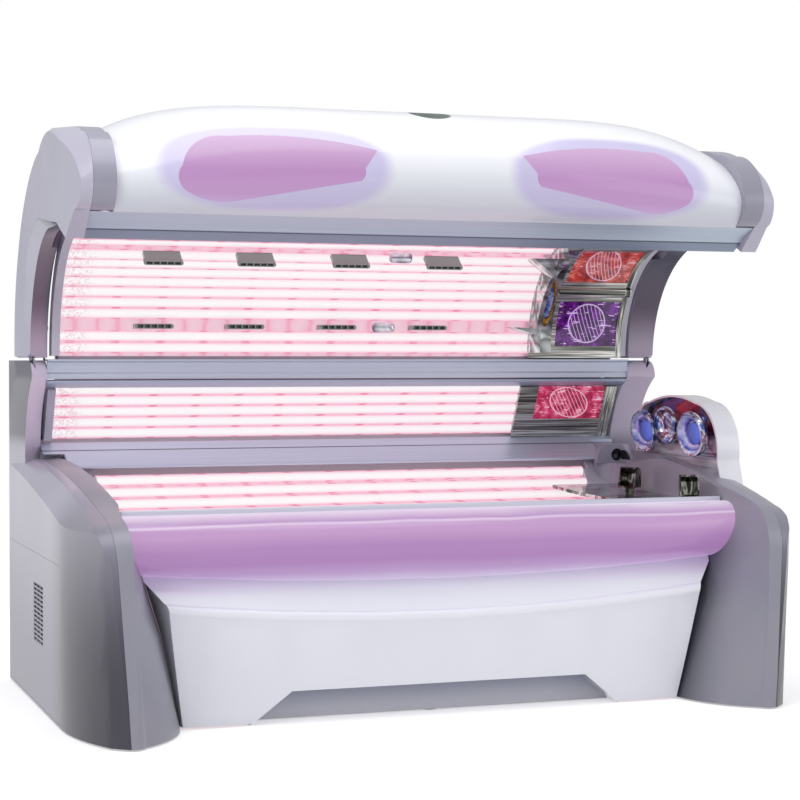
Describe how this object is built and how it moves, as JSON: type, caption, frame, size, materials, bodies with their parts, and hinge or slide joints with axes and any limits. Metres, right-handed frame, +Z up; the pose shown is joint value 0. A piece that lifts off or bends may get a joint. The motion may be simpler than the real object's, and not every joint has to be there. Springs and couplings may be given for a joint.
{
  "type": "clamshell tanning bed",
  "caption": "Clamshell sunbed with a curved clear bench, side lamp wall, face and shoulder tanners and an opening canopy on rear hinges.",
  "frame": {"origin": "middle of the bed's outline on the floor under its levelling feet", "axes": "+X along the bed to the head end, -Y the side a user climbs in from, +Z up"},
  "size_m": [2.38, 1.4365, 1.9384],
  "materials": {
    "casing_grey": "satin silver-lavender paint on moulded plastic",
    "cheek_grey": "satin grey-lavender moulded plastic",
    "cover_white": "glossy white moulded plastic",
    "profile_aluminium": "brushed, lavender anodised",
    "frame_steel": "black powder coat",
    "pad_rubber": "matt black",
    "light_cover": "frosted pink to violet acrylic",
    "led_strip": "white diffusing strip",
    "clear_acrylic": "clear acrylic sheet",
    "lamp_glass": "lit fluorescent tube, white to pink",
    "holder_grey": "pale grey moulded",
    "reflector_sheet": "bright rolled sheet",
    "panel_white": "white painted sheet",
    "chrome_trim": "bright chrome",
    "filter_magenta": "magenta filter glass",
    "filter_violet": "violet filter glass",
    "filter_red": "red filter glass",
    "window_violet": "violet lit acrylic window",
    "lens_blue": "blue glazed dome",
    "mirror_liner": "mirror-finished plastic",
    "vent_grey": "satin grey moulded",
    "fan_black": "black moulded",
    "ballast_case": "grey coated steel",
    "spring_black": "black enamel",
    "rod_steel": "hard chromed rod"
  },
  "bodies": {
    "base": {"end_casing_right": "casing_grey", "end_casing_left": "casing_grey", "inner_cheek_right": "cheek_grey", "inner_cheek_left": "cheek_grey", "service_panels": "casing_grey", "side_grilles": "casing_grey", "base_frame": "frame_steel", "levelling_feet": "pad_rubber", "light_band": "light_cover", "band_lamp": "led_strip", "front_fascia": "cover_white", "kick_recess_panel": "cheek_grey", "bench_front_rail": "profile_aluminium", "bench_acrylic": "clear_acrylic", "base_lamps": "lamp_glass", "lamp_holder_strips": "holder_grey", "base_reflectors": "reflector_sheet", "rail_lower": "profile_aluminium", "rail_upper_fixed": "profile_aluminium", "side_acrylic": "clear_acrylic", "rear_panel": "panel_white", "shoulder_frame": "chrome_trim", "shoulder_filter": "filter_magenta", "shoulder_burner": "reflector_sheet", "head_tray": "chrome_trim", "pod_shell": "cover_white", "pod_liner": "mirror_liner", "fan_housing": "fan_black", "ballast_units": "ballast_case", "corner_cover": "cheek_grey"},
    "canopy": {"canopy_shell": "cover_white", "canopy_windows": "window_violet", "top_grille": "vent_grey", "canopy_arm_right": "casing_grey", "canopy_arm_left": "casing_grey", "cap_rings": "casing_grey", "canopy_front_profile": "profile_aluminium", "canopy_rear_rail": "profile_aluminium", "canopy_acrylic": "clear_acrylic", "canopy_lamps": "lamp_glass", "canopy_reflector": "reflector_sheet", "canopy_end_strips": "holder_grey", "canopy_frame": "frame_steel", "air_nozzles": "vent_grey", "spray_nozzles": "chrome_trim", "facial_housing": "chrome_trim", "violet_filter": "filter_violet", "red_filter": "filter_red", "facial_burners": "reflector_sheet", "facial_rib": "chrome_trim"},
    "tray_outlet_rear": {"tray_nozzle_rear": "chrome_trim"},
    "tray_outlet_front": {"tray_nozzle_front": "chrome_trim"},
    "pod_outlet_rear": {"pod_nozzle_rear": "chrome_trim", "pod_lens_rear": "lens_blue"},
    "pod_outlet_middle": {"pod_nozzle_middle": "chrome_trim"},
    "pod_outlet_front": {"pod_nozzle_front": "chrome_trim", "pod_lens_front": "lens_blue"},
    "fan": {"fan_rotor": "fan_black"},
    "spring_cylinders": {"gas_cylinders": "spring_black"},
    "spring_rods": {"gas_rods": "rod_steel"}
  },
  "joints": [
    {"name": "canopy_hinge", "type": "hinge", "parent": "base", "child": "canopy", "pos_m": [0, 0.42, 1.132], "axis": [1, 0, 0], "range_deg": [0, 45]},
    {"name": "spring_foot", "type": "hinge", "parent": "base", "child": "spring_cylinders", "pos_m": [0, 0.69, 0.86], "axis": [1, 0, 0], "range_deg": [0, 9.8]},
    {"name": "spring_stroke", "type": "slide", "parent": "spring_cylinders", "child": "spring_rods", "axis": [0, -0.3237, 0.9462], "range_m": [0, 0.1152]},
    {"name": "fan_spin", "type": "hinge", "parent": "base", "child": "fan", "pos_m": [0, 0.235, 0.23], "axis": [0, 1, 0], "continuous": true},
    {"name": "pod_swivel_rear", "type": "hinge", "parent": "base", "child": "pod_outlet_rear", "pos_m": [1.115, 0.238, 0.877], "axis": [0, 0, 1], "range_deg": [-12, 12]},
    {"name": "pod_swivel_middle", "type": "hinge", "parent": "base", "child": "pod_outlet_middle", "pos_m": [1.115, 0.06, 0.904], "axis": [0, 0, 1], "range_deg": [-12, 12]},
    {"name": "pod_swivel_front", "type": "hinge", "parent": "base", "child": "pod_outlet_front", "pos_m": [1.115, -0.132, 0.878], "axis": [0, 0, 1], "range_deg": [-12, 12]},
    {"name": "tray_swivel_rear", "type": "hinge", "parent": "base", "child": "tray_outlet_rear", "pos_m": [0.955, 0.15, 0.65], "axis": [0, 0, 1], "range_deg": [-25, 25]},
    {"name": "tray_swivel_front", "type": "hinge", "parent": "base", "child": "tray_outlet_front", "pos_m": [0.962, -0.29, 0.65], "axis": [0, 0, 1], "range_deg": [-25, 25]}
  ],
  "couplings": [
    {"joint": "spring_foot", "follows": "canopy_hinge", "ratio": 0.21673},
    {"joint": "spring_stroke", "follows": "canopy_hinge", "m_per_rad": 0.1465}
  ]
}
